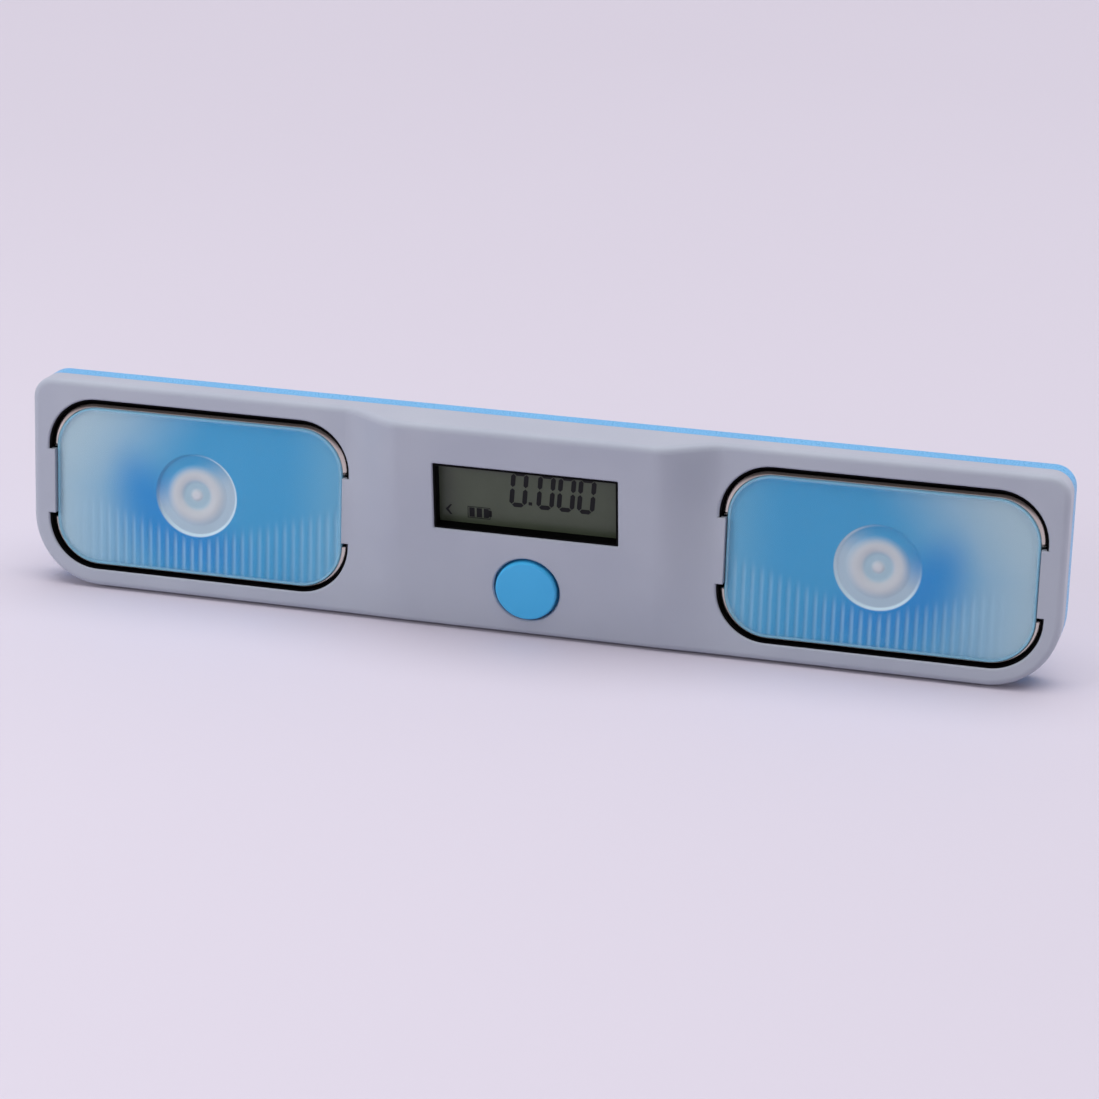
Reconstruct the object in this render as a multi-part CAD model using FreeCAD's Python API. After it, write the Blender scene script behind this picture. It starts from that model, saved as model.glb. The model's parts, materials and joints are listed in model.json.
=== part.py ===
import FreeCAD, Part
import math
import os
from FreeCAD import Vector

# Speed cube timer: a slim bar with a touch pad at each end and, between them, a raised
# middle that leans forward and carries the display and one round button.
# It stands on its long lower edge. +X runs along the bar, +Y to the back and +Z up.
# The origin lies on the floor under the middle of the box that holds the whole timer.
# While a piece is being modelled, y = 0 is the front face of the two flat ends.
# The model is in millimetres.

# ---------------------------------------------------------------- driving dimensions

# Case
case_length = 245.0
case_height = 50.0
front_depth = 6.2           # front shell at the ends, from its face to the parting line
back_depth = 5.8            # back shell, from the parting line to its back face
wall = 2.0
back_floor = 1.8
top_corner = 5.0
bottom_corner = 16.5
front_edge = 1.6            # rounding round the face
back_edge = 1.2             # rounding round the back
lip_height = 1.0            # tongue of the back shell inside the front shell's rim
lip_wall = 0.9
fit_gap = 0.1               # clearance between pieces that only locate each other
mouth_chamfer = 0.3         # broken edge round the openings of the face

# Raised middle
panel_rise = 8.4            # how far it stands forward at the top edge
panel_half = 30.0           # half width of the flat part
panel_foot = 45.0           # half width where the blend has died away

# Touch pads
pad_inner = 43.95           # from the middle of the case to the slot round a pad
pad_end_margin = 4.05       # from that slot to the end of the case
pad_edge_margin = 4.2       # from that slot to the top and the bottom of the case
pad_corner = 10.3
pad_sink = 0.6              # how far a lens lies below the face
slot_side = 1.85            # slot beside a pad's short sides
slot_top = 2.2              # slot above a pad
slot_bottom = 1.3           # and below it
slot_corner = 11.9
tab_height = 15.6           # bridge of the face that parts the upper slot from the lower
tab_gap = 0.3
lens_thickness = 0.8
lens_edge = 0.4
diffuser_thickness = 2.8
flute_pitch = 1.9
flute_radius = 0.6
flute_depth = 0.35
flute_long = 19.0           # at the sides of the pad
flute_short = 6.5           # below the eye
flute_margin = 2.4
eye_radius = 9.5
eye_depth = 0.6
iris_radius = 5.2
iris_bead = 1.0
pupil_radius = 1.3

# Black cradle under each pad
cradle_flange = 1.2
cradle_base = 1.0
rim_wall = 0.3
rim_sink = 0.3
channel_depth = 3.4
cradle_hole = 6.4
standoff_height = 0.8
standoff_radius = 2.2
standoff_x = 14.0

# Bright trim arcs in the slots
trim_gap = 0.15             # between a lens and the strips round it
trim_side = 1.1             # width of a strip beside the pad's short sides
trim_top = 0.85             # and above the pad
trim_bottom = 0.5           # and below it
trim_corner = 11.1
trim_sink = 1.1
trim_end = 1.2
trim_edge = 0.2

# Sensor board under each cradle
sensor_length = 50.0
sensor_height = 22.0
sensor_thickness = 1.0
board_corner = 1.0
led_size = 3.5
led_height = 1.0
led_dome = 1.4
touch_ring_radius = 5.6
touch_ring_wall = 0.5
small_screw_radius = 0.8
small_screw_head = 1.5
small_head_height = 1.0
small_screw_length = 2.3
thread_gap = 0.03
recess_reach = 0.6          # arms of a screw's cross recess, as a share of the head's radius
recess_half = 0.15          # half their width, as a share of the head's radius
recess_depth = 0.5          # as a share of the head's height

# Display
window_width = 43.6
window_low = 25.0           # up the slope, from the bottom edge of the middle to the window
window_top = 9.5            # from the window to the top edge of the middle
window_corner = 0.3
bezel_wall = 0.4
bezel_sink = 0.25
bezel_side = 1.9            # bezel beyond the window, at the sides
bezel_end = 3.2             # bezel beyond the window, above and below
bezel_skin = 0.4
glass_depth = 3.4           # from the face down to the display glass
glass_pane = 1.1
glass_ledge = 1.6
glass_play = 0.15
zebra_width = 1.6
zebra_height = 1.2

# Main board and what it carries
board_low = 3.0             # up the slope, from the bottom edge of the middle to the board
board_top = 4.2             # from the board to the top edge of the middle
board_thickness = 1.2
board_screw_gap = 0.4       # between the bezel and the bosses of the board's screws
board_screw_side = 2.8      # from the screws to the ends of the board
board_screw_low = 6.0       # from the lower screws to the board's lower edge
board_screw_high = 2.5      # from the upper screws to the board's upper edge
board_screw_radius = 1.0
board_screw_head = 1.9
board_head_height = 1.2
board_screw_length = 4.2
board_boss_radius = 2.1
chip_size = 10.0
chip_height = 1.6
chip_gap = 1.1              # between the chip and the boss of the screw beside it
crystal_length = 8.0
crystal_width = 3.5
crystal_height = 2.5
crystal_end = 1.6
low_row = 12.0              # height of the chip and crystal up the board
component_length = 2.0
component_width = 1.2
component_height = 0.6
component_pitch = 2.8
component_count = 5
component_gap = 0.9         # between the last component and the boss beside it
buzzer_radius = 6.0
buzzer_height = 4.0
buzzer_x = -22.3
buzzer_drop = 13.5          # from the board's upper edge to the middle of the buzzer
buzzer_port = 1.2
sound_hole = 0.7
sound_ring = 3.0
sound_count = 6

# Button and its switch
button_radius = 7.25
button_row = 11.5
button_gap = 0.6
button_proud = 0.8
button_travel = 0.7
button_crown = 1.4
button_skirt = 1.2
button_edge = 0.5
button_flange = 1.5
button_flange_height = 0.8
stem_radius = 2.0
plunger_radius = 1.7
plunger_gap = 0.15
plunger_rest = 1.1          # plunger above the switch body
plunger_seat = 0.25         # plunger inside the switch body
switch_size = 6.0
switch_height = 3.5

# Coin cell and its cap
cell_radius = 10.0
cell_thickness = 3.2
cell_step = 1.5             # the smaller negative cup at the cell's front
cell_step_height = 0.3
cell_from_top = 17.0
cell_play = 0.2
cap_radius = 11.6
cap_gap = 0.3
cap_clear = 0.1             # running clearance under the cap and its lugs
cap_plug_wall = 1.1
cap_plug_depth = 1.2
cap_lug = 1.1
cap_lug_count = 2
cap_lug_angle = 34.0
cap_turn = 45.0
coin_slot_length = 15.0
coin_slot_width = 2.0
coin_slot_end = 0.9
coin_slot_depth = 0.9
cup_wall = 1.2
cup_gap = 0.3
cup_height = 2.8
cell_rib = 1.0
cell_rib_count = 4
leaf = 0.3
leaf_width = 6.0

# Case screws
screw_radius = 1.0
screw_head = 2.0
screw_head_height = 1.4
screw_length = 5.4
screw_sink = 2.6            # head seat below the back face
screw_gap = 0.15
screw_head_gap = 0.3
pilot_spare = 0.4           # pilot hole beyond the tip of its screw
boss_radius = 2.2
post_radius = 3.2
boss_overrun = 0.8          # boss beyond the parting line
corner_screw_inset = 4.9
middle_screw_gap = 2.55     # between the middle screws' posts and the pad cradles
middle_screw_inset = 6.0
clamp_radius = 1.8          # posts that press the cradles against the face
clamp_inset = 6.3           # from the posts to the edges of the slots

# Cables between the boards
socket_length = 6.0
socket_width = 7.0
socket_height = 2.2
socket_row = 17.0           # up the slope of the main board
socket_inset = 4.0          # from the middle of a socket to the end of its board
cable_width = 5.0
cable_thickness = 0.8
cable_bend = 9.0

# Rubber feet
foot_radius = 4.5
foot_proud = 0.8
foot_edge = 0.4
foot_pocket = 0.6
foot_end_inset = 14.5
foot_edge_inset = 12.0

# ---------------------------------------------------------------- derived places

lean = math.degrees(math.atan2(panel_rise, case_height))
lean_cos = math.cos(math.radians(lean))
lean_sin = math.sin(math.radians(lean))
slope_length = case_height / lean_cos
half_length = case_length / 2
middle_z = case_height / 2
parting = front_depth
back_face = front_depth + back_depth
floor_face = back_face - back_floor
pad_width = half_length - pad_end_margin - pad_inner - 2 * slot_side
slot_width = pad_width + 2 * slot_side
slot_height = case_height - 2 * pad_edge_margin
pad_height = slot_height - slot_top - slot_bottom
pad_x = pad_inner + slot_side + pad_width / 2
pad_z = pad_edge_margin + slot_bottom + pad_height / 2
lens_back = pad_sink + lens_thickness
base_front = lens_back + diffuser_thickness
base_back = base_front + cradle_base
sensor_front = base_back + standoff_height
sensor_back = sensor_front + sensor_thickness
window_height = slope_length - window_low - window_top
window_z = window_low + window_height / 2
glass_back = glass_depth + 2 * glass_pane
board_front = glass_back + zebra_height
board_back = board_front + board_thickness
board_high = slope_length - board_top
board_screw_x = window_width / 2 + bezel_side + board_screw_gap + board_boss_radius
board_half_length = board_screw_x + board_screw_side
boss_side = board_screw_x - board_boss_radius
chip_x = chip_gap + chip_size / 2 - boss_side
component_row_half = component_pitch * (component_count - 1) / 2
crystal_x = boss_side - component_gap - component_width / 2 - component_row_half
buzzer_row = board_high - buzzer_drop
main_socket_x = board_half_length - socket_inset
sensor_socket_x = sensor_length / 2 - socket_inset
middle_screw_x = pad_inner - cradle_flange - middle_screw_gap - post_radius
cell_z = case_height - cell_from_top
cell_back = floor_face - cap_clear
cell_front = cell_back - cell_thickness
cup_radius = cap_radius + cap_lug + cup_gap
reach = 6.0                 # how far cutting solids run past the case
near = 0.01                 # closer than this counts as the same place
sides = {"left": -1, "right": 1}

# The rounding of the top edge takes a little off the foremost point of the middle.
front_most = -panel_rise * (1 - front_edge / case_height) + front_edge * (1 / lean_cos - 1)
case_y = -(front_most + back_face + foot_proud) / 2


# ---------------------------------------------------------------- shared forms

def outline(x, y, z, width, height, top, bottom):
    """Rectangle in the plane y, centred at x, z, with its upper and lower corners rounded."""
    left, right = x - width / 2, x + width / 2
    low, high = z - height / 2, z + height / 2
    bulge = 1 - math.sqrt(0.5)

    def side(start, end):
        return Part.LineSegment(Vector(start[0], y, start[1]),
                                Vector(end[0], y, end[1])).toShape()

    def corner(at_x, at_z, inward_x, inward_z, radius):
        """Quarter arc, anticlockwise, in the corner at at_x, at_z."""
        on_side = Vector(at_x, y, at_z + inward_z * radius)
        on_end = Vector(at_x + inward_x * radius, y, at_z)
        middle = Vector(at_x + inward_x * radius * bulge, y, at_z + inward_z * radius * bulge)
        ends = (on_end, on_side) if inward_x * inward_z < 0 else (on_side, on_end)
        return Part.Arc(ends[0], middle, ends[1]).toShape()

    return Part.Wire([
        side((left + bottom, low), (right - bottom, low)),
        corner(right, low, -1, 1, bottom),
        side((right, low + bottom), (right, high - top)),
        corner(right, high, -1, -1, top),
        side((right - top, high), (left + top, high)),
        corner(left, high, 1, -1, top),
        side((left, high - top), (left, low + bottom)),
        corner(left, low, 1, 1, bottom),
    ])


def plate(x, z, width, height, top, bottom, y0, y1):
    """Upright plate from y0 to y1 with rounded corners, centred at x, z."""
    face = Part.Face(outline(x, y0, z, width, height, top, bottom))
    return face.extrude(Vector(0, y1 - y0, 0))


def mouth_bevel(x, z, width, height, corner):
    """Flared cutter that breaks the edge round an opening of the face."""
    flare = 2 * mouth_chamfer
    wide = outline(x, -mouth_chamfer, z, width + 2 * flare, height + 2 * flare,
                   corner + flare, corner + flare)
    narrow = outline(x, mouth_chamfer, z, width, height, corner, corner)
    return Part.makeLoft([wide, narrow], True, True)


def block(x0, x1, y0, y1, z0, z1):
    return Part.makeBox(x1 - x0, y1 - y0, z1 - z0, Vector(x0, y0, z0))


def rod(x, z, radius, y0, y1):
    """Round bar along Y."""
    return Part.makeCylinder(radius, y1 - y0, Vector(x, y0, z), Vector(0, 1, 0))


def tube(x, z, radius, thickness, y0, y1):
    return rod(x, z, radius, y0, y1).cut(rod(x, z, radius - thickness, y0, y1))


def leaning(shape):
    """Tip a piece that was modelled upright into the lean of the middle panel.

    Before the tip, y is the depth below the panel's face and z the way up its slope.
    """
    shape.rotate(Vector(0, 0, 0), Vector(1, 0, 0), lean)
    return shape


def edges_where(shape, test):
    """Edges whose ends and middle all pass the test."""
    chosen = []
    for edge in shape.Edges:
        middle = edge.valueAt((edge.FirstParameter + edge.LastParameter) / 2)
        points = [middle] + [vertex.Point for vertex in edge.Vertexes]
        if all(test(point) for point in points):
            chosen.append(edge)
    return chosen


def case_plate(inset, y0, y1):
    """The case outline, drawn in by inset."""
    return plate(0, middle_z, case_length - 2 * inset, case_height - 2 * inset,
                 top_corner - inset, bottom_corner - inset, y0, y1)


def pad_plate(side, grow, y0, y1):
    """The outline of a pad's lens, grown by grow."""
    return plate(sides[side] * pad_x, pad_z, pad_width + 2 * grow, pad_height + 2 * grow,
                 pad_corner + grow, pad_corner + grow, y0, y1)


def slot_plate(side, grow, y0, y1):
    """The outline round the slots of a pad, grown by grow."""
    return plate(sides[side] * pad_x, middle_z, slot_width + 2 * grow, slot_height + 2 * grow,
                 slot_corner + grow, slot_corner + grow, y0, y1)


def tab_band(side, grow, y0, y1):
    """The height band that the tabs beside a pad take up."""
    x = sides[side] * pad_x
    half_width = slot_width / 2 + reach
    half_height = tab_height / 2 + grow
    return block(x - half_width, x + half_width, y0, y1,
                 middle_z - half_height, middle_z + half_height)


def panel_front(x, z):
    """y of the front face at x, z."""
    blend = (panel_foot - abs(x)) / (panel_foot - panel_half)
    blend = min(max(blend, 0), 1)
    return -panel_rise * z / case_height * (3 * blend ** 2 - 2 * blend ** 3)


def air_before(depth):
    """Everything in front of the face, or of a face that lies depth behind it.

    The ends are flat. The middle leans forward, and a cubic blend on each side takes
    its rise, which grows in step with the height, down to nothing.
    """
    sections = []
    for z in (-reach, case_height + reach):
        rise = panel_rise * z / case_height
        far_x = half_length + reach
        far_y = -panel_rise - reach
        third = (panel_foot - panel_half) / 3

        def at(x, y):
            return Vector(x, y, z)

        def side(start, end):
            return Part.LineSegment(at(*start), at(*end)).toShape()

        def blend(sign):
            curve = Part.BezierCurve()
            poles = [at(sign * panel_foot, depth), at(sign * (panel_foot - third), depth),
                     at(sign * (panel_half + third), depth - rise),
                     at(sign * panel_half, depth - rise)]
            curve.setPoles(poles if sign < 0 else poles[::-1])
            return curve.toShape()

        sections.append(Part.Wire([
            side((-far_x, far_y), (-far_x, depth)),
            side((-far_x, depth), (-panel_foot, depth)),
            blend(-1),
            side((-panel_half, depth - rise), (panel_half, depth - rise)),
            blend(1),
            side((panel_foot, depth), (far_x, depth)),
            side((far_x, depth), (far_x, far_y)),
            side((far_x, far_y), (-far_x, far_y)),
        ]))
    return Part.makeLoft(sections, True, True)


def case_screw_places():
    corner_x = half_length - corner_screw_inset
    corner_z = case_height - corner_screw_inset
    places = []
    for sign in sides.values():
        places.append((sign * corner_x, corner_z))
        places.append((sign * middle_screw_x, middle_screw_inset))
        places.append((sign * middle_screw_x, case_height - middle_screw_inset))
    return places


def board_screw_places():
    """On the leaning board: x and the way up the slope."""
    return [(sign * board_screw_x, row) for sign in sides.values()
            for row in (board_low + board_screw_low, board_high - board_screw_high)]


def clamp_places(side):
    x = sides[side] * pad_x
    out = slot_width / 2 - clamp_inset
    up = slot_height / 2 - clamp_inset
    return [(x + dx, middle_z + dz) for dx in (-out, out) for dz in (-up, up)]


def screw(x, z, radius, head, head_height, length, seat):
    """Pan-head screw along Y that enters towards the front, its head's seat at y = seat."""
    top = rod(x, z, head, seat, seat + head_height)
    arm = head * recess_reach
    half = head * recess_half
    floor = seat + head_height * (1 - recess_depth)
    cross = block(x - arm, x + arm, floor, floor + reach, z - half, z + half).fuse(
        block(x - half, x + half, floor, floor + reach, z - arm, z + arm))
    return top.fuse(rod(x, z, radius, seat - length, seat)).cut(cross)


# ---------------------------------------------------------------- shells

def front_shell():
    outer = case_plate(0, -panel_rise - reach, parting).cut(air_before(0))

    def round_the_face(point):
        on_face = abs(point.y - panel_front(point.x, point.z)) < near
        inside = abs(point.x) < half_length - near and near < point.z < case_height - near
        in_corner = abs(point.x) > half_length - bottom_corner
        return on_face and (in_corner or not inside)

    outer = outer.makeFillet(front_edge, edges_where(outer, round_the_face))
    cavity = case_plate(wall, -panel_rise - reach, parting + reach).cut(air_before(wall))
    shell = outer.cut(cavity)

    bosses = [rod(x, z, boss_radius, -panel_rise, parting + boss_overrun)
              for x, z in case_screw_places()]
    board_bosses = [leaning(rod(x, z, board_boss_radius, 0, board_front))
                    for x, z in board_screw_places()]
    air = air_before(wall / 2)
    for boss in bosses + board_bosses:
        shell = shell.fuse(boss.cut(air))

    lip = case_plate(wall - lip_wall - fit_gap, parting - lip_height - fit_gap, parting)
    shell = shell.cut(lip.cut(case_plate(wall, -reach, back_face)))

    for side in sides:
        bevel = mouth_bevel(sides[side] * pad_x, middle_z, slot_width, slot_height,
                            slot_corner)
        mouth = slot_plate(side, 0, -reach, wall + fit_gap).fuse(bevel)
        mouth = mouth.cut(tab_band(side, 0, -reach, back_face))
        shell = shell.cut(mouth.fuse(pad_plate(side, tab_gap, -reach, wall + fit_gap)))
    window = plate(0, window_z, window_width, window_height, window_corner, window_corner,
                   -reach, wall + fit_gap)
    bevel = mouth_bevel(0, window_z, window_width, window_height, window_corner)
    hole_radius = button_radius + button_gap
    hole = rod(0, button_row, hole_radius, -reach, wall + fit_gap)
    countersink = Part.makeCone(hole_radius + 2 * mouth_chamfer, hole_radius,
                                2 * mouth_chamfer, Vector(0, -mouth_chamfer, button_row),
                                Vector(0, 1, 0))
    for opening in (window, bevel, hole, countersink):
        shell = shell.cut(leaning(opening))

    tip = back_face - screw_sink - screw_length
    pilots = [rod(x, z, screw_radius + thread_gap, tip - pilot_spare, parting + reach)
              for x, z in case_screw_places()]
    board_pilots = [leaning(rod(x, z, board_screw_radius + thread_gap,
                                board_back - board_screw_length - fit_gap, board_front))
                    for x, z in board_screw_places()]
    for pilot in pilots + board_pilots:
        shell = shell.cut(pilot)
    return shell


def back_shell():
    outer = case_plate(0, parting, back_face)
    outer = outer.makeFillet(back_edge, edges_where(
        outer, lambda p: abs(p.y - back_face) < near))
    shell = outer.cut(case_plate(wall, -reach, floor_face))
    lip = case_plate(wall - lip_wall, parting - lip_height, parting)
    shell = shell.fuse(lip.cut(case_plate(wall, -reach, back_face)))

    for x, z in case_screw_places():
        shell = shell.fuse(rod(x, z, post_radius, parting + boss_overrun, floor_face).common(
            case_plate(wall / 2, 0, back_face)))
    for side in sides:
        for x, z in clamp_places(side):
            shell = shell.fuse(rod(x, z, clamp_radius, base_back, floor_face))
    cup = tube(0, cell_z, cup_radius + cup_wall, cup_wall, floor_face - cup_height, floor_face)
    shell = shell.fuse(cup).fuse(cell_ribs())

    seat = back_face - screw_sink
    for x, z in case_screw_places():
        shell = shell.cut(rod(x, z, screw_head + screw_head_gap, seat, back_face + reach))
        shell = shell.cut(rod(x, z, screw_radius + screw_gap, 0, back_face))
    shell = shell.cut(cap_mouth())
    for x, z in foot_places():
        shell = shell.cut(rod(x, z, foot_radius + fit_gap, back_face - foot_pocket,
                              back_face + reach))
    for x, z in sound_hole_places():
        shell = shell.cut(rod(x, z, sound_hole, 0, back_face + reach))
    return shell


def cell_ribs():
    """Ribs in the battery cup that centre the cell, in front of the cap's lugs."""
    ribs = []
    for index in range(cell_rib_count):
        rib = block(cell_radius + cell_play, cup_radius + cup_wall / 2,
                    floor_face - cup_height, floor_face - cap_plug_depth - cap_gap,
                    cell_z - cell_rib / 2, cell_z + cell_rib / 2)
        rib.rotate(Vector(0, 0, cell_z), Vector(0, 1, 0), 360 / cell_rib_count * (index + 0.5))
        ribs.append(rib)
    return ribs[0].multiFuse(ribs[1:])


def cap_lugs(radius, angle, turn, y0, y1):
    """Evenly spaced sectors out to radius, angle degrees wide, turned about the cap."""
    lugs = []
    for index in range(cap_lug_count):
        lug = Part.makeCylinder(radius, y1 - y0, Vector(0, y0, cell_z), Vector(0, 1, 0), angle)
        # Each sector starts half its angle early, so that it is centred on its turn.
        lug.rotate(Vector(0, 0, cell_z), Vector(0, 1, 0),
                   turn - angle / 2 + 360 / cap_lug_count * index)
        lugs.append(lug)
    return lugs[0].multiFuse(lugs[1:])


def cap_mouth():
    """Hole for the battery cap, with the two notches that pass its lugs."""
    play = math.degrees(2 * cap_gap / cap_radius)
    start = floor_face - fit_gap
    hole = rod(0, cell_z, cap_radius + cap_gap, start, back_face + reach)
    notches = cap_lugs(cap_radius + cap_lug + cap_gap, cap_lug_angle + play, cap_turn,
                       start, back_face + reach)
    return hole.fuse(notches)


def foot_places():
    x = half_length - foot_end_inset
    return [(sign * x, z) for sign in sides.values()
            for z in (foot_edge_inset, case_height - foot_edge_inset)]


def sound_hole_places():
    """One hole on the buzzer's axis where that meets the back, and a ring round it."""
    depth = (floor_face + buzzer_row * lean_sin) / lean_cos
    z = buzzer_row * lean_cos + depth * lean_sin
    places = [(buzzer_x, z)]
    for index in range(sound_count):
        angle = 2 * math.pi * index / sound_count
        places.append((buzzer_x + sound_ring * math.cos(angle),
                       z + sound_ring * math.sin(angle)))
    return places


# ---------------------------------------------------------------- touch pads

def pad_lens(side):
    """Clear cover plate with a rounded front edge."""
    lens = pad_plate(side, 0, pad_sink, lens_back)
    return lens.makeFillet(lens_edge, edges_where(
        lens, lambda p: abs(p.y - pad_sink) < near))


def pad_diffuser(side):
    """Blue plate with flutes that rise from its lower edge and a dished eye."""
    x = sides[side] * pad_x
    body = pad_plate(side, 0, lens_back, base_front)
    body = body.cut(rod(x, pad_z, eye_radius, lens_back - reach, lens_back + eye_depth))
    eye_floor = lens_back + eye_depth
    iris = Part.makeTorus(iris_radius, iris_bead, Vector(x, eye_floor, pad_z),
                          Vector(0, 1, 0))
    pupil = Part.makeSphere(pupil_radius, Vector(x, eye_floor, pad_z))
    body = body.fuse(iris.fuse(pupil).common(
        rod(x, pad_z, eye_radius, lens_back + fit_gap, eye_floor + fit_gap)))

    half_width = pad_width / 2 - flute_margin
    count = int(half_width / flute_pitch)
    low = pad_z - pad_height / 2
    flutes = []
    for index in range(-count, count + 1):
        offset = index * flute_pitch
        share = abs(offset) / half_width
        top = low + flute_short + (flute_long - flute_short) * share
        flutes.append(Part.makeCylinder(
            flute_radius, top - low + reach,
            Vector(x + offset, lens_back - flute_radius + flute_depth, low - reach),
            Vector(0, 0, 1)))
    return body.cut(flutes[0].multiFuse(flutes[1:]))


def pad_cradle(side):
    """Black tray: it lines the slots, carries the lens and bears on the face from behind."""
    x = sides[side] * pad_x
    inner = -fit_gap - rim_wall
    tray = slot_plate(side, cradle_flange, wall, base_back)
    tray = tray.cut(slot_plate(side, inner, -reach, channel_depth))
    tray = tray.cut(pad_plate(side, fit_gap, -reach, base_front))
    rim = slot_plate(side, -fit_gap, rim_sink, wall + fit_gap)
    rim = rim.cut(slot_plate(side, inner, -reach, back_face))
    rim = rim.cut(tab_band(side, fit_gap, -reach, wall))
    tray = tray.fuse(rim).cut(rod(x, pad_z, cradle_hole, 0, back_face))
    for dx in (-standoff_x, standoff_x):
        tray = tray.fuse(rod(x + dx, pad_z, standoff_radius, base_back - fit_gap,
                             sensor_front))
        tray = tray.cut(rod(x + dx, pad_z, small_screw_radius + thread_gap,
                            sensor_back - small_screw_length - fit_gap, back_face))
    return tray


def slot_trim(side, upper):
    """Bright strip that follows the lens round both corners of one slot."""
    x = sides[side] * pad_x
    rise = trim_top if upper else trim_bottom
    ring = plate(x, pad_z, pad_width + 2 * (trim_gap + trim_side),
                 pad_height + 2 * (trim_gap + rise), trim_corner, trim_corner,
                 trim_sink, channel_depth)
    ring = ring.cut(pad_plate(side, trim_gap, 0, back_face))
    ring = ring.makeChamfer(trim_edge, edges_where(
        ring, lambda p: abs(p.y - trim_sink) < near))
    end = tab_height / 2 + trim_end
    low, high = (end, case_height) if upper else (-case_height, -end)
    return ring.common(block(x - pad_width, x + pad_width, 0, back_face,
                             middle_z + low, middle_z + high))


def touch_ring(side):
    """Sprung ring that joins the sensor board to the back of the pad."""
    return tube(sides[side] * pad_x, pad_z, touch_ring_radius, touch_ring_wall,
                base_front, sensor_front)


def pad_led(side):
    x = sides[side] * pad_x
    half = led_size / 2
    front = sensor_front - led_height
    body = block(x - half, x + half, front, sensor_front, pad_z - half, pad_z + half)
    dome = Part.makeSphere(led_dome, Vector(x, front + led_dome / 2, pad_z))
    return body.fuse(dome.common(rod(x, pad_z, led_dome, 0, sensor_front)))


def sensor_board(side):
    x = sides[side] * pad_x
    board = plate(x, pad_z, sensor_length, sensor_height, board_corner, board_corner,
                  sensor_front, sensor_back)
    for dx in (-standoff_x, standoff_x):
        board = board.cut(rod(x + dx, pad_z, small_screw_radius + screw_gap, 0, back_face))
    return board


def sensor_board_screws():
    return Part.makeCompound([
        screw(sign * pad_x + dx, pad_z, small_screw_radius, small_screw_head,
              small_head_height, small_screw_length, sensor_back)
        for sign in sides.values() for dx in (-standoff_x, standoff_x)])


# ---------------------------------------------------------------- display

def lcd_bezel():
    """Black frame: it lines the window and holds the glass against the main board."""
    width = window_width + 2 * bezel_side
    height = window_height + 2 * bezel_end
    frame = plate(0, window_z, width, height, bezel_skin, bezel_skin, wall, board_front)
    lining = block(-window_width / 2 + fit_gap, window_width / 2 - fit_gap, bezel_sink, wall,
                   window_low + fit_gap, window_low + window_height - fit_gap)
    inset = fit_gap + bezel_wall
    view = block(-window_width / 2 + inset, window_width / 2 - inset, -reach, glass_depth,
                 window_low + inset, window_low + window_height - inset)
    frame = frame.fuse(lining).cut(view)
    frame = frame.cut(block(bezel_skin - width / 2, width / 2 - bezel_skin, glass_depth,
                            board_front, window_z - height / 2 + bezel_skin,
                            window_z + height / 2 - bezel_skin))
    return leaning(frame)


def glass_span():
    """Half width and half height of the display glass inside the bezel."""
    return (window_width / 2 + bezel_side - bezel_skin - glass_play,
            window_height / 2 + bezel_end - bezel_skin - glass_play)


def lcd_glass():
    """Two panes; the rear one is longer, for the contacts along its edges."""
    half_width, half_height = glass_span()
    front = block(-half_width, half_width, glass_depth, glass_depth + glass_pane,
                  window_z - half_height + glass_ledge, window_z + half_height - glass_ledge)
    rear = block(-half_width, half_width, glass_depth + glass_pane, glass_back,
                 window_z - half_height, window_z + half_height)
    return Part.makeCompound([leaning(front), leaning(rear)])


def lcd_reflector():
    half_width, half_height = glass_span()
    inner = half_height - zebra_width - glass_play
    return leaning(block(-half_width, half_width, glass_back, board_front,
                         window_z - inner, window_z + inner))


def zebra_strips():
    half_width, half_height = glass_span()
    strips = [block(-half_width, half_width, glass_back, board_front, low, low + zebra_width)
              for low in (window_z - half_height, window_z + half_height - zebra_width)]
    return Part.makeCompound([leaning(strip) for strip in strips])


# ---------------------------------------------------------------- main board

def main_board():
    board = plate(0, (board_low + board_high) / 2, 2 * board_half_length,
                  board_high - board_low, board_corner, board_corner, board_front, board_back)
    for x, z in board_screw_places():
        board = board.cut(rod(x, z, board_screw_radius + screw_gap, 0, back_face + reach))
    return leaning(board)


def board_screws():
    return Part.makeCompound([
        leaning(screw(x, z, board_screw_radius, board_screw_head, board_head_height,
                      board_screw_length, board_back)) for x, z in board_screw_places()])


def controller_chip():
    half = chip_size / 2
    return leaning(block(chip_x - half, chip_x + half, board_front - chip_height, board_front,
                         low_row - half, low_row + half))


def crystal():
    """Clock crystal in a can that lies flat on the board."""
    return leaning(plate(crystal_x, low_row, crystal_length, crystal_width, crystal_end,
                         crystal_end, board_front - crystal_height, board_front))


def board_components():
    """A row of chip resistors and capacitors beside the crystal."""
    start = crystal_x - component_row_half
    row = low_row - crystal_width / 2 - component_pitch
    parts = []
    for index in range(component_count):
        x = start + index * component_pitch
        parts.append(leaning(block(
            x - component_width / 2, x + component_width / 2, board_front - component_height,
            board_front, row - component_length / 2, row + component_length / 2)))
    return Part.makeCompound(parts)


def buzzer():
    """Round sounder on the back of the board, with its port towards the back shell."""
    can = rod(buzzer_x, buzzer_row, buzzer_radius, board_back, board_back + buzzer_height)
    port = rod(buzzer_x, buzzer_row, buzzer_port, board_back + buzzer_height / 2,
               board_back + buzzer_height + reach)
    return leaning(can.cut(port))


# ---------------------------------------------------------------- button

def switch_body():
    half = switch_size / 2
    front = board_front - switch_height
    body = block(-half, half, front, board_front, button_row - half, button_row + half)
    well = rod(0, button_row, plunger_radius + plunger_gap, front - reach,
               front + plunger_seat + button_travel + plunger_gap)
    return leaning(body.cut(well))


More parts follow.
